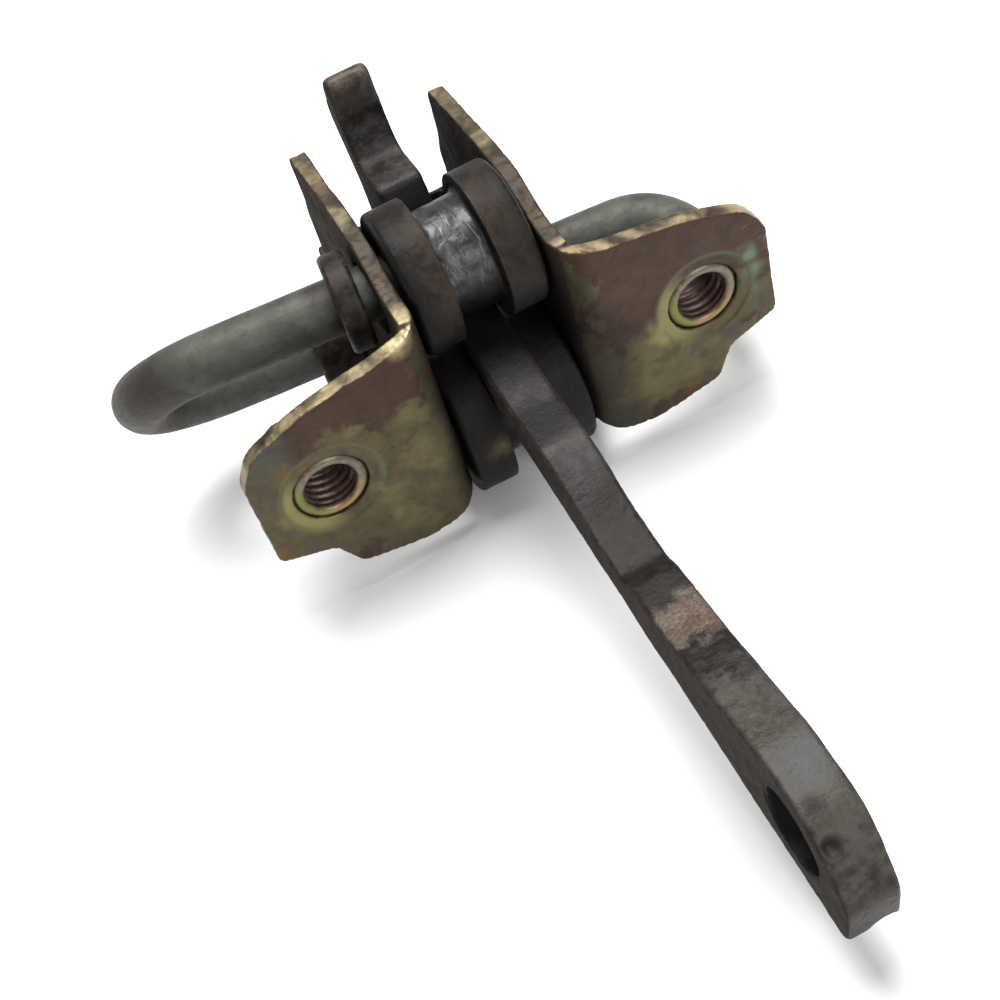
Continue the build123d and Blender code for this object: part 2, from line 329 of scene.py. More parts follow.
def zinc_material():
    """Aged yellow zinc plating: olive and gold, stained maroon, with painted shade in and beside the
    channel, painted highlights along the upper edges and a painted highlight arc round each seat.
    """
    s = Shader("yellow_zinc")
    cloud = s.noise(8.0, 4.0, 0.55, seed=3.0, distortion=0.8)
    mottle = s.noise(2.4, 6.0, 0.62, seed=8.0, distortion=0.5)
    grain = s.noise(0.4, 4.0, 0.6, seed=1.0)
    dull = s.blend(s.span(mottle, 0.35, 0.70), (0.086, 0.070, 0.038), (0.066, 0.055, 0.034))
    olive = s.blend(s.span(mottle, 0.35, 0.65), (0.124, 0.105, 0.050), (0.106, 0.089, 0.044))
    spread = s.math("ADD", s.painted("olive"), s.span(cloud, 0.2, 0.8, -0.16, 0.16))
    colour = s.blend(s.span(spread, 0.10, 0.90), dull, olive)
    maroon = s.blend(s.span(mottle, 0.35, 0.68), (0.056, 0.026, 0.014), (0.042, 0.025, 0.017))
    stain = s.math("ADD", s.painted("stain"), s.span(mottle, 0.25, 0.75, -0.30, 0.30))
    colour = s.blend(s.span(stain, 0.20, 0.62), colour, maroon)
    orange = s.math("MULTIPLY", s.painted("orange"), s.span(mottle, 0.3, 0.6, 0.35, 1.0))
    colour = s.blend(orange, colour, (0.130, 0.072, 0.030))
    grey = s.math("MULTIPLY", s.painted("grey"), s.span(mottle, 0.3, 0.6, 0.5, 1.0))
    colour = s.blend(grey, colour, (0.066, 0.062, 0.054))
    halo = s.math("MULTIPLY", s.painted("halo"), s.span(mottle, 0.25, 0.6, 0.60, 1.0))
    colour = s.blend(halo, colour, (0.215, 0.190, 0.078))
    # Teal patches, and a painted highlight arc round each seat.
    teal_and_highlight = s.math("MULTIPLY", s.painted("teal_and_highlight"), s.span(mottle, 0.3, 0.6, 0.5, 1.0))
    colour = s.blend(teal_and_highlight, colour, (0.120, 0.165, 0.095))
    edge = s.blend(s.span(mottle, 0.42, 0.66), (0.042, 0.031, 0.021), (0.088, 0.066, 0.039))
    colour = s.blend(s.math("MULTIPLY", s.painted("sheared"), 0.85), colour, edge)
    # Golden edges, partly painted highlight.
    gilt_and_highlight = s.math("MULTIPLY", s.painted("gilt_and_highlight"), s.span(mottle, 0.32, 0.60, 0.45, 1.0))
    colour = s.blend(gilt_and_highlight, colour, (0.640, 0.520, 0.300))
    colour = s.blend(s.span(grain, 0.58, 0.80, 0.0, 0.30), colour, (0.030, 0.022, 0.016))
    dull_side = s.painted("dull")
    side = s.blend(s.span(mottle, 0.35, 0.65), (0.046, 0.035, 0.028), (0.032, 0.024, 0.019))
    colour = s.blend(s.math("MULTIPLY", dull_side, 0.85), colour, side)
    # Painted shade in and beside the channel.
    painted_shade = s.math("MULTIPLY", s.painted("painted_shade"), s.span(mottle, 0.3, 0.7, 1.0, 0.88))
    colour = s.blend(painted_shade, colour, (0.012, 0.0115, 0.0115))
    height = s.math("ADD", s.math("MULTIPLY", grain, 0.30), mottle)
    s.relief(height, 0.13)
    matt = s.math("MAXIMUM", s.math("MULTIPLY", painted_shade, 0.6), dull_side)
    shine = s.math("ADD", s.span(mottle, 0.3, 0.75, 0.36, 0.58), s.math("MULTIPLY", matt, 0.35))
    metal = s.span(s.math("MAXIMUM", stain, painted_shade), 0.2, 0.75, 0.65, 0.15)
    metal = s.math("MULTIPLY", metal, s.math("SUBTRACT", 1.0, dull_side))
    return s.finish(colour, metal, shine, s.span(matt, 0.0, 1.0, 0.2, 0.03))


def forged_material():
    """Dark forged steel with scale, worn grey towards the eye, with rust, painted highlights on the
    crest and the hook's tip, and painted shade in the eye, in pits and inside the bracket.
    """
    s = Shader("forged_steel")
    cloud = s.noise(7.0, 4.0, 0.55, seed=5.0, distortion=0.4)
    mottle = s.noise(1.8, 7.0, 0.66, seed=2.0)
    grain = s.noise(0.32, 4.0, 0.6, seed=9.0)
    dark = s.blend(s.span(cloud, 0.35, 0.65), (0.017, 0.015, 0.015), (0.031, 0.028, 0.027))
    brown = s.blend(s.span(mottle, 0.3, 0.7), (0.013, 0.010, 0.009), (0.024, 0.019, 0.017))
    colour = s.blend(s.painted("brown"), dark, brown)
    # Worn grey, and painted highlight on the crest and the hook's tip.
    worn_and_highlight = s.blend(s.span(mottle, 0.3, 0.7), (0.044, 0.038, 0.031), (0.072, 0.066, 0.058))
    wear = s.math("ADD", s.painted("worn_and_highlight"), s.span(mottle, 0.2, 0.8, -0.30, 0.30))
    colour = s.blend(s.span(wear, 0.15, 0.80), colour, worn_and_highlight)
    # Rust, and a painted highlight in the rust colour over the hook's tip.
    rust_and_highlight = s.math("ADD", s.painted("rust_and_highlight"), s.span(mottle, 0.2, 0.8, -0.35, 0.35))
    tan = s.blend(s.span(grain, 0.35, 0.65), (0.082, 0.056, 0.040), (0.135, 0.106, 0.082))
    colour = s.blend(s.span(rust_and_highlight, 0.20, 0.70), colour, tan)
    red = s.math("MULTIPLY", s.painted("rust_and_highlight"), s.span(cloud, 0.52, 0.64))
    colour = s.blend(red, colour, (0.070, 0.034, 0.022))
    blue = s.math("MULTIPLY", s.painted("blue"), s.span(mottle, 0.3, 0.6, 0.4, 1.0))
    colour = s.blend(blue, colour, (0.060, 0.070, 0.074))
    rubbed = s.math("MULTIPLY", s.edges(0.52, 0.62), s.span(mottle, 0.45, 0.68, 0.05, 0.7))
    colour = s.blend(rubbed, colour, (0.170, 0.160, 0.148))
    flank = s.blend(s.span(mottle, 0.35, 0.68), (0.026, 0.021, 0.018), (0.060, 0.047, 0.038))
    side = s.painted("flank")
    colour = s.blend(side, colour, flank)
    colour = s.blend(s.painted("line"), colour, (0.016, 0.012, 0.010))
    # Painted shade in the eye, in pits and on the arm under the rollers.
    colour = s.blend(s.painted("painted_shade"), colour, (0.010, 0.009, 0.009))
    height = s.math("ADD", s.math("MULTIPLY", grain, 0.5), mottle)
    s.relief(height, 0.12)
    gloss = s.math("ADD", s.span(mottle, 0.3, 0.75, 0.36, 0.56), s.math("MULTIPLY", side, 0.35))
    metal = s.span(side, 0.0, 0.85, 0.30, 0.0)
    return s.finish(colour, metal, gloss, s.span(side, 0.0, 0.85, 0.2, 0.03))


def roller_material():
    """Turned steel roller: a greasy grey track between dark brown rims, with painted shade underneath
    and beside the cheeks, a painted highlight at the left-hand lip and a painted golden reflection on
    the lower roller.
    """
    s = Shader("roller_steel")
    mottle = s.noise(2.0, 6.0, 0.62, seed=4.0, distortion=0.5)
    flow = s.noise(0.8, 4.0, 0.6, stretch=(1, 5, 5), seed=6.0, distortion=0.6)
    track = s.blend(s.span(mottle, 0.35, 0.68), (0.078, 0.078, 0.079), (0.026, 0.024, 0.023))
    track = s.blend(s.span(flow, 0.54, 0.70, 0.0, 0.8), track, (0.160, 0.160, 0.162))
    # Painted shade on the track where it faces down.
    track = s.blend(s.painted("low"), track, (0.030, 0.027, 0.025))
    rim = s.blend(s.span(mottle, 0.35, 0.65), (0.015, 0.011, 0.009), (0.039, 0.028, 0.020))
    on_rim = s.painted("rim")
    colour = s.blend(on_rim, track, rim)
    # Painted highlight along the left-hand lip.
    lip_highlight = s.math("MULTIPLY", s.painted("lip_highlight"), s.span(flow, 0.52, 0.66, 0.0, 0.5))
    colour = s.blend(lip_highlight, colour, (0.200, 0.190, 0.175))
    # Painted golden reflection on the lower roller.
    gold_glint = s.math("MULTIPLY", s.painted("gold_glint"), s.span(mottle, 0.30, 0.50))
    colour = s.blend(gold_glint, colour, (0.190, 0.130, 0.050))
    # Painted shade, covering nearly all of the lower roller.
    colour = s.blend(s.painted("painted_shade"), colour, (0.007, 0.0065, 0.006))
    height = s.math("ADD", s.math("MULTIPLY", flow, 0.5), mottle)
    s.relief(height, 0.22)
    gloss = s.math("ADD", s.span(mottle, 0.3, 0.7, 0.30, 0.46), s.math("MULTIPLY", on_rim, 0.14))
    return s.finish(colour, s.math("SUBTRACT", 0.7, s.math("MULTIPLY", on_rim, 0.4)), gloss)


def spring_material():
    """Dull grey-green spring steel, browned at the bend and beside the bracket, with painted shade
    underneath, in the channel and inside the loop, and painted light on the far leg.
    """
    s = Shader("spring_steel")
    cloud = s.noise(6.0, 4.0, 0.55, seed=7.0, distortion=0.5)
    mottle = s.noise(1.6, 6.0, 0.62, seed=11.0, distortion=0.4)
    base = s.blend(s.span(cloud, 0.35, 0.65), (0.058, 0.058, 0.048), (0.092, 0.092, 0.079))
    brown = s.blend(s.span(mottle, 0.3, 0.7), (0.028, 0.023, 0.019), (0.046, 0.038, 0.032))
    # Browned at the bend and beside the cheek, with painted shade on the undersides.
    browned_and_shaded = s.math("ADD", s.painted("browned_and_shaded"), s.span(cloud, 0.2, 0.8, -0.30, 0.30))
    colour = s.blend(s.span(browned_and_shaded, 0.20, 0.85), base, brown)
    colour = s.blend(s.span(mottle, 0.52, 0.72, 0.0, 0.45), colour, (0.028, 0.024, 0.021))
    # Painted light on the far leg.
    far_leg_light = s.math("MULTIPLY", s.painted("far_leg_light"), s.span(mottle, 0.3, 0.7, 0.9, 0.35))
    colour = s.blend(far_leg_light, colour, (0.125, 0.118, 0.104))
    # Painted shade in the channel and inside the loop.
    colour = s.blend(s.painted("painted_shade"), colour, (0.010, 0.0095, 0.009))
    s.relief(mottle, 0.14)
    return s.finish(colour, 0.15, s.span(mottle, 0.3, 0.75, 0.46, 0.62))


def browned_material(name, low, high):
    """Plain steel that has gone brown, rubbed brighter on its corners."""
    s = Shader(name)
    mottle = s.noise(1.1, 5.0, 0.6, seed=13.0)
    colour = s.blend(s.span(mottle, 0.35, 0.65), low, high)
    colour = s.blend(s.math("MULTIPLY", s.edges(0.52, 0.6), 0.5), colour, (0.120, 0.098, 0.070))
    s.relief(mottle, 0.08)
    return s.finish(colour, 0.35, s.span(mottle, 0.3, 0.75, 0.42, 0.60))


def nut_material():
    """Yellow zinc on a tapped nut: dull, with a painted golden highlight on the lower lip and a
    purple-brown thread.
    """
    s = Shader("nut_zinc")
    mottle = s.noise(0.9, 5.0, 0.6, seed=15.0)
    collar = s.blend(s.span(mottle, 0.35, 0.65), (0.120, 0.106, 0.080), (0.190, 0.168, 0.126))
    body = s.blend(s.span(mottle, 0.35, 0.65), (0.058, 0.046, 0.030), (0.096, 0.078, 0.048))
    ring = s.blend(s.painted("front"), body, collar)
    # Painted highlight on the lower right of the collar's mouth.
    bright = s.math("MULTIPLY", s.painted("lip_highlight"), s.span(mottle, 0.25, 0.5, 0.4, 0.9))
    colour = s.blend(bright, ring, (0.290, 0.190, 0.085))
    colour = s.blend(s.math("MULTIPLY", s.painted("halo"), 0.7), colour, (0.150, 0.165, 0.022))
    thread = s.blend(s.span(mottle, 0.35, 0.7), (0.105, 0.066, 0.056), (0.190, 0.130, 0.115))
    colour = s.blend(s.painted("thread"), colour, thread)
    s.relief(mottle, 0.05)
    return s.finish(colour, 0.7, s.span(mottle, 0.3, 0.75, 0.30, 0.46))


# ---- Stains on the bracket's front: (x, z, radius, strength) ------------------------------------
STAINS = [
    (-14.3, 14.5, 6.5, 1.2), (-15.0, 10.5, 6.0, 1.1), (-19.8, 12.2, 7.0, 1.3), (-23.7, 11.8, 5.8, 1.2),
    (-27.0, 10.0, 4.5, 1.0), (-16.9, 7.2, 4.2, 0.9), (-21.5, 9.8, 4.5, 1.0), (-16.2, 1.5, 2.6, 0.6),
    (16.0, 12.5, 9.0, 1.4), (24.0, 11.0, 9.5, 1.4), (31.5, 9.0, 8.0, 1.4), (14.8, 5.0, 8.0, 1.2),
    (20.0, 6.0, 7.0, 1.3), (29.0, 5.5, 6.0, 1.2), (34.5, 3.5, 5.0, 1.0), (17.0, 1.6, 4.5, 0.9),
    (21.6, -15.4, 4.2, 1.0), (17.9, -15.2, 3.4, 0.8), (34.4, 1.0, 3.6, 0.8), (31.5, -7.0, 3.0, 0.45),
    (-25.0, -13.5, 4.0, 0.5), (-34.5, -2.0, 3.5, 0.4),
]
OLIVES = [
    (-12.6, 5.4, 4.5, 0.9), (-13.0, -2.0, 6.5, 1.0), (-16.5, -10.5, 6.0, 0.7), (-20.7, 7.0, 2.0, 1.0),
    (-19.5, -5.5, 4.0, 0.7), (16.2, -3.5, 4.5, 0.9), (17.0, -9.5, 7.0, 1.2), (22.6, -8.6, 6.0, 1.1),
    (14.2, 1.6, 3.0, 0.6), (27.5, -10.5, 4.5, 0.8),
]
ORANGES = [
    (-30.4, 6.0, 2.6, 0.9), (-27.5, 6.4, 2.4, 0.8), (-24.6, 6.2, 2.2, 0.6), (-34.8, -6.5, 1.8, 1.0),
    (-19.5, 3.5, 2.0, 0.5), (15.5, 8.0, 3.0, 0.25), (19.0, 10.0, 3.5, 0.2), (22.5, -14.0, 2.0, 0.4),
]
GREYS = [
    (-30.5, 9.5, 3.6, 1.0), (-33.0, 8.0, 2.8, 0.8), (-33.5, 3.0, 2.5, 0.4), (24.0, -7.0, 2.8, 0.8),
    (28.5, -7.8, 2.8, 0.7), (34.3, -3.6, 2.6, 0.5), (27.0, 8.5, 2.5, 0.3),
]
YELLOWS = [
    (20.3, -0.4, 3.2, 1.2), (19.6, -2.4, 2.6, 1.1), (-19.8, -9.1, 1.7, 0.55), (-32.3, -1.2, 2.0, 0.6),
]
TEALS = [(32.8, 0.8, 2.4, 0.9), (32.6, 3.8, 2.4, 1.3), (33.0, -2.5, 1.6, 0.4)]


# ---- Pieces -------------------------------------------------------------------------------------
def make_bracket(material):
    piece = dense_copy("bracket", "bracket_sheet", 0.25, 4)

    def sheared(point, normal):
        """1 on the sheet's cut edges, 0 on its rolled faces and round the bends."""
        if point.y < SHEET + BEND_IN and abs(point.x) < CHEEK_OUT + BEND_IN:
            return 1 - smoothstep(0.30, 0.65, math.hypot(normal.x, normal.y))
        if point.y < SHEET + 0.3:
            return 1 - smoothstep(0.40, 0.75, abs(normal.y))
        if point.y > WEB_FRONT and abs(point.x) < CHEEK_OUT - 3:
            return 1 - smoothstep(0.40, 0.75, abs(normal.y))
        return 1 - smoothstep(0.40, 0.75, abs(normal.x))

    def seat(point):
        """Offset from the nearer hole's centre and the distance from it."""
        dx = point.x - math.copysign(BOLT_X, point.x)
        return dx, max(math.hypot(dx, point.z), 0.1)

    def surface(point, normal):
        cut = sheared(point, normal)
        waves = 0.12 * blotch(point, 9.0, 2.0) + 0.06 * blotch(point, 4.0, 5.0)
        torn = (0.10 * rough(point, 1.4, 7.0) + 0.08 * blotch(point, 3.5, 9.0)) * cut
        pits = -0.05 * smoothstep(0.25, 0.6, blotch(point, 0.9, 11.0))
        fine = 0.012 * rough(point, 0.5, 3.0, 3)
        near_hole = smoothstep(DISH_R - 0.5, DISH_R + 1.5, seat(point)[1])
        web_back = smoothstep(WEB_FRONT + 1.2, WEB_FRONT + 1.8, point.y)
        inset = -0.15 * smoothstep(0.3, 0.8, normal.y) * web_back
        return waves * near_hole * (1 - cut) + torn + pits + fine + inset

    displace(piece, surface)

    def near_any(point, spots):
        """The strongest of several round patches, each (x, z, radius, strength), with ragged rims."""
        dx = 0.5 * blotch(point, 4.0, 31.0) + 0.3 * blotch(point, 1.5, 32.0)
        dz = 0.5 * blotch(point, 4.0, 41.0) + 0.3 * blotch(point, 1.5, 42.0)
        best = 0.0
        for at_x, at_z, radius, strength in spots:
            away = math.hypot(point.x - at_x + dx * radius, point.z - at_z + dz * radius)
            best = max(best, strength * bump(away, radius))
        return best

    def on_front(point):
        return 1 - smoothstep(SHEET * 0.5, SHEET, point.y)

    def stain(point, normal):
        """Maroon and brown stain; the back and the cheeks get loose cloudy patches."""
        cheek = 1 - smoothstep(CHEEK_OUT - 0.2, CHEEK_OUT + 0.6, abs(point.x))
        cloudy = 0.40 + 0.45 * cheek + 0.5 * blotch(point, 9.0, 21.0)
        return max(near_any(point, STAINS) * on_front(point), cloudy * (1 - on_front(point)))

    def olive(point, normal):
        cloudy = 0.4 + 0.6 * blotch(point, 10.0, 51.0)
        return max(near_any(point, OLIVES) * on_front(point), cloudy * (1 - on_front(point)))

    def orange(point, normal):
        return near_any(point, ORANGES) * on_front(point)

    def grey(point, normal):
        return near_any(point, GREYS) * on_front(point)

    def halo(point, normal):
        """Yellow crescent on the lower left of each coined seat."""
        dx, distance = seat(point)
        ring = smoothstep(PILOT_R - 0.2, PILOT_R + 0.5, distance) * (1 - smoothstep(5.8, 7.4, distance))
        up = 0.37 if point.x < 0 else 0.05
        facing = smoothstep(0.15, 0.85, (-dx * 0.93 - point.z * up) / distance)
        return max(ring * facing, near_any(point, YELLOWS)) * on_front(point)

    def teal_and_highlight(point, normal):
        """Painted highlight as a thin pale arc round each seat's rim, and cool teal patches beside the
        right-hand one.
        """
        dx, distance = seat(point)
        facing = smoothstep(-0.5, 0.6, (dx * 0.5 + point.z * 0.9) / distance)
        # Painted highlight along the upper side of the seat's rim.
        rim_arc = bump(abs(distance - DISH_R), 0.7) * facing
        return max(0.45 * rim_arc, near_any(point, TEALS)) * on_front(point)

    def gilt_and_highlight(point, normal):
        """Golden metal on the upper cut edges of the flanges and cheeks and at the left-hand corner:
        partly its own colour, partly painted highlight, with a painted glint at the corner's top.
        """
        cut = sheared(point, normal)
        corner = 1.3 * bump((point - Vector((-11.6, 2.0, 16.0))).length, 5.0)
        patchy = smoothstep(-0.45, 0.20, blotch(point, 2.6, 64.0))
        flange_top = 0.46 * patchy * smoothstep(4.0, 9.0, point.z) * (1 - smoothstep(3.0, 6.0, point.y))
        # A painted glint at the top of the left-hand corner.
        rubbed = 0.9 * bump((point - Vector((-12.0, 0.2, 16.4))).length, 2.8)
        spots = smoothstep(0.15, 0.45, blotch(point, 4.0, 61.0))
        cheek_top = 0.30 * spots * smoothstep(9.0, 13.0, point.y)
        tips = 0.16 * smoothstep(24.0, 32.0, point.y)
        return min(1.0, max(rubbed, cut * max(corner, flange_top, cheek_top, tips)))

    def painted_shade(point, normal):
        """Painted shade inside the channel and over the bends, deepest low down beside the rollers."""
        inner = CHEEK_IN + 0.6 + 1.2 * blotch(point, 3.5, 71.0)
        reach = inner + (1.0 if point.x < 0 else 4.4) * (1 - smoothstep(2.0, 14.0, point.z))
        inside = 1 - smoothstep(reach - 1.2, reach + 2.2, abs(point.x))
        deep = 1 - smoothstep(12.0, 18.0, point.z)
        over_bend = smoothstep(CHEEK_IN, CHEEK_OUT - 0.5, abs(point.x))
        thin = 1 - 0.40 * over_bend * (1 - smoothstep(4.5, 8.0, point.y))
        from_cheek = max(CHEEK_IN - 0.5 - abs(point.x), 0.0)
        # Painted shade on the web at the back of the channel.
        web = bump(from_cheek - 9.0, 9.0) * smoothstep(WEB_FRONT - 1, WEB_FRONT, point.y)
        rim = 1 - 0.6 * sheared(point, normal) * smoothstep(8.0, 14.0, point.z)
        # Darker low down on the right flange's front, beside the channel's mouth.
        low_right_dark = 0.0
        if point.x > 0 and point.y < 4:
            ragged = point.x + 1.5 * blotch(point, 3.0, 77.0)
            low_right_dark = 0.62 * (1 - smoothstep(13.0, 18.0, ragged)) * (1 - smoothstep(0.0, 9.0, point.z))
        return max(inside * (0.45 + 0.5 * deep) * rim * thin, low_right_dark, 0.8 * web)

    def dull(point, normal):
        """The cheeks' flat faces, which never took a shine."""
        on_cheek = 1 - smoothstep(CHEEK_OUT, CHEEK_OUT + 0.6, abs(point.x))
        return on_cheek * smoothstep(3.0, 5.0, point.y) * smoothstep(0.35, 0.75, abs(normal.x))

    paint(piece, "dull", dull)
    paint(piece, "olive", olive)
    paint(piece, "orange", orange)
    paint(piece, "grey", grey)
    paint(piece, "teal_and_highlight", teal_and_highlight)
    paint(piece, "gilt_and_highlight", gilt_and_highlight)
    paint(piece, "sheared", sheared)
    paint(piece, "stain", stain)
    paint(piece, "halo", halo)
    paint(piece, "painted_shade", painted_shade)
    finish_piece(piece, "bracket", "bracket", material)


def make_arm(material):
    piece = dense_copy("check_arm", "arm_forging", 0.25, 4)
    round_off(piece, lambda point: in_arm(point)[2] > 17.5 and point.y > 30, 50)

    def surface(point, normal):
        x, u, v = in_arm(point)
        forged = 0.09 * blotch(point, 7.0, 1.0) + 0.05 * blotch(point, 2.6, 4.0)
        fine = 0.018 * rough(point, 0.8, 6.0)
        pits = -0.07 * smoothstep(0.30, 0.62, blotch(point, 1.1, 14.0))
        chip = -1.1 * bump(math.dist((x, u, v), CHIP), 2.2)
        pit = -0.8 * bump(math.dist((x, u, v), PIT), 1.5)
        steady = smoothstep(-12, -22, u)
        rolling = 0.25 + 0.75 * steady
        return (forged + fine + pits) * rolling + chip + pit

    displace(piece, surface)

    def worn_and_highlight(point, normal):
        u, v = in_arm(point)[1:]
        on_top = smoothstep(0.3, 0.8, normal.z)
        toward_eye = smoothstep(-42, -56, u)
        # The crest's band is rubbed grey with a painted highlight; hook_tip is a painted highlight over
        # the hook's tip.
        crest = bump(abs(u - CREST), 1.8) * on_top
        hook_foot = bump(abs(u - HOOK_FOOT), 5.0) * on_top
        hook_tip = smoothstep(15.0, 19.0, v)
        hook_rise = smoothstep(32.0, 36.0, u)
        hook = max(0.45 * hook_foot, 0.35 * hook_rise, 0.95 * hook_tip)
        return max(toward_eye * (0.35 + 0.50 * on_top), 0.50 * crest, hook)

    def brown(point, normal):
        u = in_arm(point)[1]
        return smoothstep(-13, -25, u + 4 * blotch(point, 5.0, 81.0))

    def rust_and_highlight(point, normal):
        u, v = in_arm(point)[1:]
        across = smoothstep(0.3, 0.8, normal.z)
        # tip: painted highlight over the hook's tip, in the rust colour.
        tip = 0.50 * smoothstep(19.0, 21.5, v)
        away = abs(u - RUST_BAND + 1.2 * blotch(point, 3.0, 33.0))
        return max(bump(away, 5.6) * across, tip)

    def blue(point, normal):
        return 0.7 * bump(math.dist(in_arm(point), BLUE_SPOT), 4.0)

    def line(point, normal):
        """Dark cross line where the arm was bent up, just past the rust."""
        away = abs(in_arm(point)[1] - BEND_LINE + 0.5 * blotch(point, 2.0, 44.0))
        return 0.75 * bump(away, 0.8) * smoothstep(0.3, 0.8, normal.z)

    def painted_shade(point, normal):
        # Painted shade: in and round the eye, on the arm inside the bracket under the rollers, in the
        # dented pit, and a dark spot standing for a small pit's shade.
        x, u, v = in_arm(point)
        from_eye = math.hypot(u - EYE[0], v - EYE[1])
        eye = bump(from_eye, 7.5) * 0.75
        under = 0.85 * smoothstep(0.5, 6.0, u) * (1 - smoothstep(20, 28, u))
        bore = 1.0 if from_eye < EYE_BORE_R else 0.0
        in_pit = bump(math.dist((x, u, v), PIT), 2.0)
        pit_shade = max(in_pit, bump(math.dist((x, u, v), SHADED_PIT_SPOT), 1.8))
        return max(bore, eye, under, 0.85 * pit_shade)

    def flank(point, normal):
        return 0.85 * smoothstep(0.45, 0.85, abs(normal.x))

    paint(piece, "brown", brown)
    paint(piece, "flank", flank)
    paint(piece, "blue", blue)
    paint(piece, "line", line)
    paint(piece, "worn_and_highlight", worn_and_highlight)
    paint(piece, "rust_and_highlight", rust_and_highlight)
    paint(piece, "painted_shade", painted_shade)
    finish_piece(piece, "check_arm", "arm", material)


def make_roller(body, name, sizes, material):
    """A turned spool with broad rounded rims and a slightly hollow track."""
    centre = JOINT_AT[body]
    half, rim_r, bore_r, fillet = sizes
    segments = 180
    side = [(half - 0.9, bore_r), (half - 0.25, bore_r + 0.1), (half - 0.03, bore_r + 0.4)]
    side += [(half - 0.03, rim_r - 1.6), (half - 0.03, rim_r - 0.9)]
    side += arc(half - 0.83, rim_r - 0.83, 0.8, 0, 90)
    side += [(half - 1.6, rim_r - 0.03), (TRACK_HALF + 1.0, rim_r - 0.03)]
    side += arc(TRACK_HALF + 0.14, rim_r - 0.15, 0.12, 90, 175)
    side += arc(TRACK_HALF + 0.02 - fillet, TRACK_R + fillet, fillet, 0, -90)
    track = [(x * 0.7, TRACK_R - 0.05 * (1 - abs(x) / 4)) for x in (3, 2, 1, 0, -1, -2, -3)]
    bore = [(x * 0.5, bore_r) for x in range(-10, 11)]
    outline = side + track + [(-x, r) for x, r in reversed(side)] + bore
    rings = []
    for x, radius in outline:
        ring = []
        for j in range(segments):
            angle = 2 * math.pi * j / segments
            spot = Vector((x, radius * math.cos(angle), radius * math.sin(angle)))
            dent = 0.06 * blotch(spot, 3.0, centre.y) + 0.03 * blotch(spot, 1.1, 9.0)
            if abs(x) > TRACK_HALF + 1:
                dent += 0.12 * blotch(spot, 2.2, 17.0)
            if radius <= bore_r + 0.5:
                dent = 0.0
            ring.append((x, radius + min(dent, 0.02), angle))
        rings.append(ring)
    piece = lathe(name, rings, segments, True)
    piece.location = centre * MM
    bake_place(piece)

    def rim(point, normal):
        radius = math.hypot(point.y - centre.y, point.z - centre.z)
        edge = TRACK_HALF - 0.2 + 0.5 * blotch(point, 2.5, 23.0)
        return max(smoothstep(edge - 0.3, edge + 0.3, abs(point.x)), 1 - smoothstep(5.0, 6.0, radius))

    def lip_highlight(point, normal):
        """Painted highlight on a scratched line where the track runs up into the left-hand rim."""
        return bump(abs(point.x + TRACK_HALF + 0.45), 0.35)

    def gold_glint(point, normal):
        """Painted golden reflection on the front of the lower roller's left-hand rim."""
        if body == "upper_roller":
            return 0.0
        return bump(math.dist(point, GLINT_SPOT), 2.4)

    def painted_shade(point, normal):
        """Painted shade beside the cheeks, underneath and down in the channel; the lower roller is
        shaded nearly all over, clearing round its painted reflection.
        """
        beside = smoothstep(5.0, 7.2, abs(point.x + 0.6))
        if body == "upper_roller":
            left = 0.95 * smoothstep(5.9, 7.3, -point.x)
            right = 0.30 + 0.35 * smoothstep(6.2, 7.8, point.x) if point.x > TRACK_HALF + 0.5 else 0.0
            under = 0.9 * smoothstep(0.3, -0.4, normal.z)
            end_face = 0.9 * smoothstep(0.5, 0.9, abs(normal.x))
            return max(under, end_face, left, right)
        # The painted shade clears round the painted reflection.
        glint_clearing = bump(math.dist(point, GLINT_SPOT), 3.0)
        return max(0.96 * beside, 0.82) * (1 - 0.8 * glint_clearing)

    def low(point, normal):
        # Painted shade on the downward-facing surfaces.
        return smoothstep(0.45, -0.1, normal.z)

    paint(piece, "rim", rim)
    paint(piece, "painted_shade", painted_shade)
    paint(piece, "low", low)
    paint(piece, "lip_highlight", lip_highlight)
    paint(piece, "gold_glint", gold_glint)
    finish_piece(piece, body, body, material)


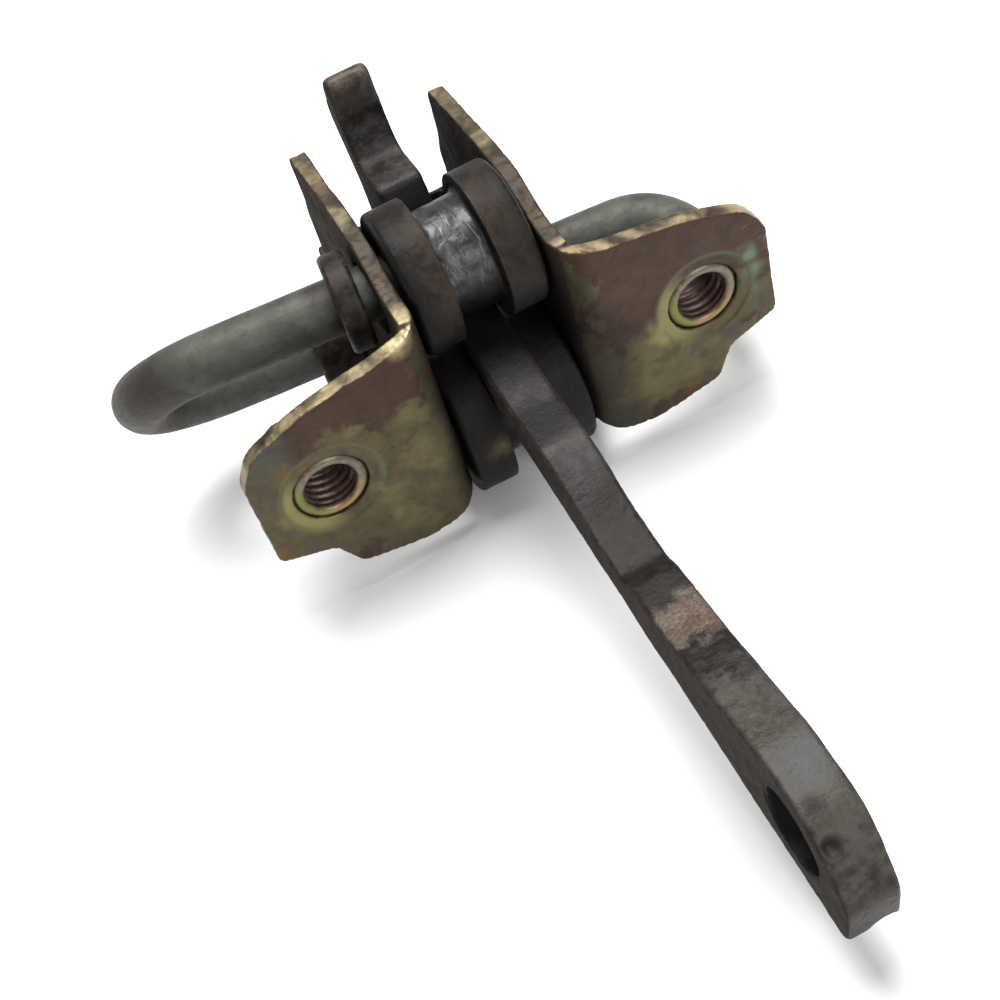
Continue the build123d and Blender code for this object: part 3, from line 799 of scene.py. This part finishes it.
def make_nut(side, name, node, material):
    """Hexagon weld nut with a pilot collar and a real 60 degree thread down its bore."""
    segments = 96
    turn = 2 * math.pi / segments

    def hexagon(angle):
        folded = (angle + math.pi / 6) % (math.pi / 3) - math.pi / 6
        return NUT_FLATS / 2 / math.cos(folded)

    def flat_ring(y, radius):
        return [(y, radius, j * turn) for j in range(segments)]

    def hex_ring(y, inset, cap):
        return [(y, min(hexagon(j * turn) - inset, cap), j * turn) for j in range(segments)]

    rings = []
    shoulder = PILOT_R + 0.53
    steps_per_pitch = 8
    start = PILOT_TOP + 0.45
    end = NUT_BACK - 0.4
    count = round((end - start) / THREAD_PITCH * steps_per_pitch)
    rings.append(flat_ring(PILOT_TOP, PILOT_R - 0.15))
    rings.append(flat_ring(PILOT_TOP, THREAD_R + 0.40))
    for i in range(count + 1):
        y = start + (end - start) * i / count
        fade = smoothstep(start, start + 0.8, y) * (1 - smoothstep(end - 0.8, end, y))
        ring = []
        for j in range(segments):
            phase = (y / THREAD_PITCH - j / segments) % 1.0
            tooth = 1 - abs(2 * phase - 1)
            tooth = min(max((tooth - 0.12) / 0.70, 0.0), 1.0)
            ring.append((y, THREAD_R + THREAD_DEPTH * tooth * fade, j * turn))
        rings.append(ring)
    rings.append(flat_ring(NUT_BACK, THREAD_R + 0.45))
    rings.append(flat_ring(NUT_BACK, 5.6))
    rings.append(hex_ring(NUT_BACK - 0.05, 0.75, 6.2))
    rings.append(hex_ring(NUT_BACK - 0.55, 0.08, 7.1))
    rings.append(hex_ring(NUT_BACK - 1.1, 0.0, 7.4))
    rings.append(hex_ring(SHEET + 0.2, 0.0, 7.45))
    rings.append(hex_ring(SHEET + 0.02, 0.2, 7.3))
    rings.append(flat_ring(SHEET + 0.02, shoulder))
    rings.append(flat_ring(PILOT_TOP + 0.55, shoulder))
    rings.append(flat_ring(PILOT_TOP + 0.28, PILOT_R + 0.34))
    rings.append(flat_ring(PILOT_TOP + 0.08, PILOT_R + 0.08))
    piece = lathe(name, rings, segments, True)
    lay = Matrix(((0, 0, 1), (1, 0, 0), (0, 1, 0))).to_4x4()
    piece.matrix_world = Matrix.Translation((side * BOLT_X * MM, 0, 0)) @ lay
    bake_place(piece)
    piece.data.update()

    def thread(point, normal):
        radius = math.hypot(point.x - side * BOLT_X, point.z)
        depth = smoothstep(PILOT_TOP + 0.2, PILOT_TOP + 0.6, point.y)
        return depth * (1 - smoothstep(THREAD_R + 0.45, THREAD_R + 0.6, radius))

    def facing(point, across, up):
        dx = point.x - side * BOLT_X
        return (dx * across + point.z * up) / max(math.hypot(dx, point.z), 0.1)

    def front(point, normal):
        return 1 - smoothstep(SHEET * 0.5, SHEET, point.y)

    def halo(point, normal):
        around = smoothstep(0.45, 0.95, facing(point, -0.95, -0.30))
        return front(point, normal) * (1 - thread(point, normal)) * around

    def lip_highlight(point, normal):
        """Painted highlight on the lower right of the collar's mouth."""
        mouth = 1 - smoothstep(PILOT_TOP + 0.6, PILOT_TOP + 1.2, point.y)
        return mouth * smoothstep(0.30, 0.95, facing(point, 0.30, -0.95))

    paint(piece, "front", front)
    paint(piece, "thread", thread)
    paint(piece, "halo", halo)
    paint(piece, "lip_highlight", lip_highlight)
    finish_piece(piece, node, "bracket", material)


def make_spring(material):
    piece = dense_copy("spring_bar", "spring_rod", 0.3, 4)

    def surface(point, normal):
        """Drawn lengthwise and a little uneven, with grease caked on the far leg in the channel."""
        drawn = Vector((point.x / 6, point.y, point.z))
        caked = 0.6 * (1 - smoothstep(7.4, 8.4, abs(point.x))) * (1 - smoothstep(-1.0, 1.0, point.z))
        skin = 0.05 * blotch(drawn, 2.5, 3.0) + 0.04 * blotch(point, 5.0, 8.0)
        skin += 0.012 * rough(point, 0.8, 5.0)
        return caked + skin

    displace(piece, surface)

    def browned_and_shaded(point, normal):
        loop = 1 - smoothstep(-41, -30, point.x)
        cheek = bump(abs(point.x + 17.0), 5.0)
        # The last term is painted shade on the undersides; the others are browning.
        return max(0.70 * loop, 0.55 * cheek, 0.35 * smoothstep(0.2, -0.5, normal.z))

    def painted_shade(point, normal):
        """Painted shade in the channel, and on the inner side of the hairpin's loop."""
        middle = Vector((max(point.x, -30.0), 20.25 - max(point.x, -30.0) * 0.103, 3.9))
        inward = smoothstep(-0.1, 0.7, normal.dot((middle - point).normalized()))
        loop = 0.15 * inward * (1 - smoothstep(-12.0, -8.0, point.x))
        return max(0.85 * (1 - smoothstep(9.5, 12.5, abs(point.x))), loop)

    def far_leg_light(point, normal):
        """Painted light on the far leg, where the near one above it shades it."""
        from_bend = smoothstep(4.0, -1.0, point.z) * smoothstep(-43.0, -34.0, point.x)
        return from_bend * (1 - smoothstep(-20.0, -13.0, point.x))

    paint(piece, "far_leg_light", far_leg_light)
    paint(piece, "browned_and_shaded", browned_and_shaded)
    paint(piece, "painted_shade", painted_shade)
    finish_piece(piece, "spring_bar", "bracket", material)


def make_plain(node, name, voxel, material):
    """A small steel piece whose corners are eased and whose skin is slightly uneven."""
    piece = dense_copy(node, name, voxel, 3)
    displace(piece, lambda point, normal: 0.03 * blotch(point, 1.6, 4.0) + 0.01 * rough(point, 0.5, 2.0))
    finish_piece(piece, node, "bracket", material)


# ---- Stage --------------------------------------------------------------------------------------
def make_floor():
    size = 3.0
    level = cad_box[0][2] - 0.3 * MM
    corners = [(-size, -size, level), (size, -size, level), (size, size, level), (-size, size, level)]
    mesh = bpy.data.meshes.new("floor")
    mesh.from_pydata(corners, [], [(0, 1, 2, 3)])
    floor = link(bpy.data.objects.new("floor", mesh))
    material = bpy.data.materials.new("pale_floor")
    material.use_nodes = True
    shader = material.node_tree.nodes["Principled BSDF"]
    shader.inputs["Base Color"].default_value = (0.93, 0.93, 0.93, 1)
    shader.inputs["Roughness"].default_value = 0.9
    shader.inputs["Specular IOR Level"].default_value = 0.1
    mesh.materials.append(material)


def make_light(name, place, target, size, power):
    data = bpy.data.lights.new(name, "AREA")
    data.shape = "DISK"
    data.size = size
    data.energy = power
    lamp = link(bpy.data.objects.new(name, data))
    aim = (Vector(target) - Vector(place)).to_track_quat("-Z", "Y")
    lamp.matrix_world = Matrix.Translation(place) @ aim.to_matrix().to_4x4()


def make_lights():
    world = bpy.data.worlds.new("studio")
    world.use_nodes = True
    world.node_tree.nodes["Background"].inputs["Color"].default_value = (1, 1, 1, 1)
    world.node_tree.nodes["Background"].inputs["Strength"].default_value = 0.38
    bpy.context.scene.world = world
    make_light("overhead", (0.05, 0.22, 0.75), (0, 0, 0), 0.60, 9.5)
    make_light("front", (0.30, -0.75, 0.50), (0, 0, 0), 0.60, 4.0)


def make_camera():
    place = Vector((-33.2, -138.9, 148.2)) * MM
    target = Vector((-9.66, -13.96, 0.34)) * MM
    roll = math.radians(19.4)
    data = bpy.data.cameras.new("camera")
    data.sensor_width = 36.0
    data.lens = 60.16
    data.clip_start = 0.01
    camera = link(bpy.data.objects.new("camera", data))
    aim = (target - place).to_track_quat("-Z", "Y") @ Quaternion((0, 0, 1), -roll)
    camera.matrix_world = Matrix.Translation(place) @ aim.to_matrix().to_4x4()
    bpy.context.scene.camera = camera


# ---- The scene ----------------------------------------------------------------------------------
make_camera()
make_lights()
make_floor()
bpy.context.scene.view_settings.view_transform = "Standard"

zinc = zinc_material()
nut_zinc = nut_material()
forged = forged_material()
roller_steel = roller_material()
spring_steel = spring_material()
collar_steel = browned_material("collar_steel", (0.015, 0.012, 0.010), (0.034, 0.026, 0.020))
pin_steel = browned_material("pin_steel", (0.040, 0.031, 0.021), (0.075, 0.060, 0.040))

make_bracket(zinc)
make_nut(-1, "nut_left", "weld_nut_left", nut_zinc)
make_nut(1, "nut_right", "weld_nut_right", nut_zinc)
make_arm(forged)
make_roller("upper_roller", "spool_upper", UPPER_ROLLER, roller_steel)
make_roller("lower_roller", "spool_lower", LOWER_ROLLER, roller_steel)
make_spring(spring_steel)
make_plain("spring_collar", "collar_ring", 0.15, collar_steel)
make_plain("far_collar", "far_collar_ring", 0.15, collar_steel)
make_plain("lower_roller_pin", "roller_rivet", 0.2, pin_steel)
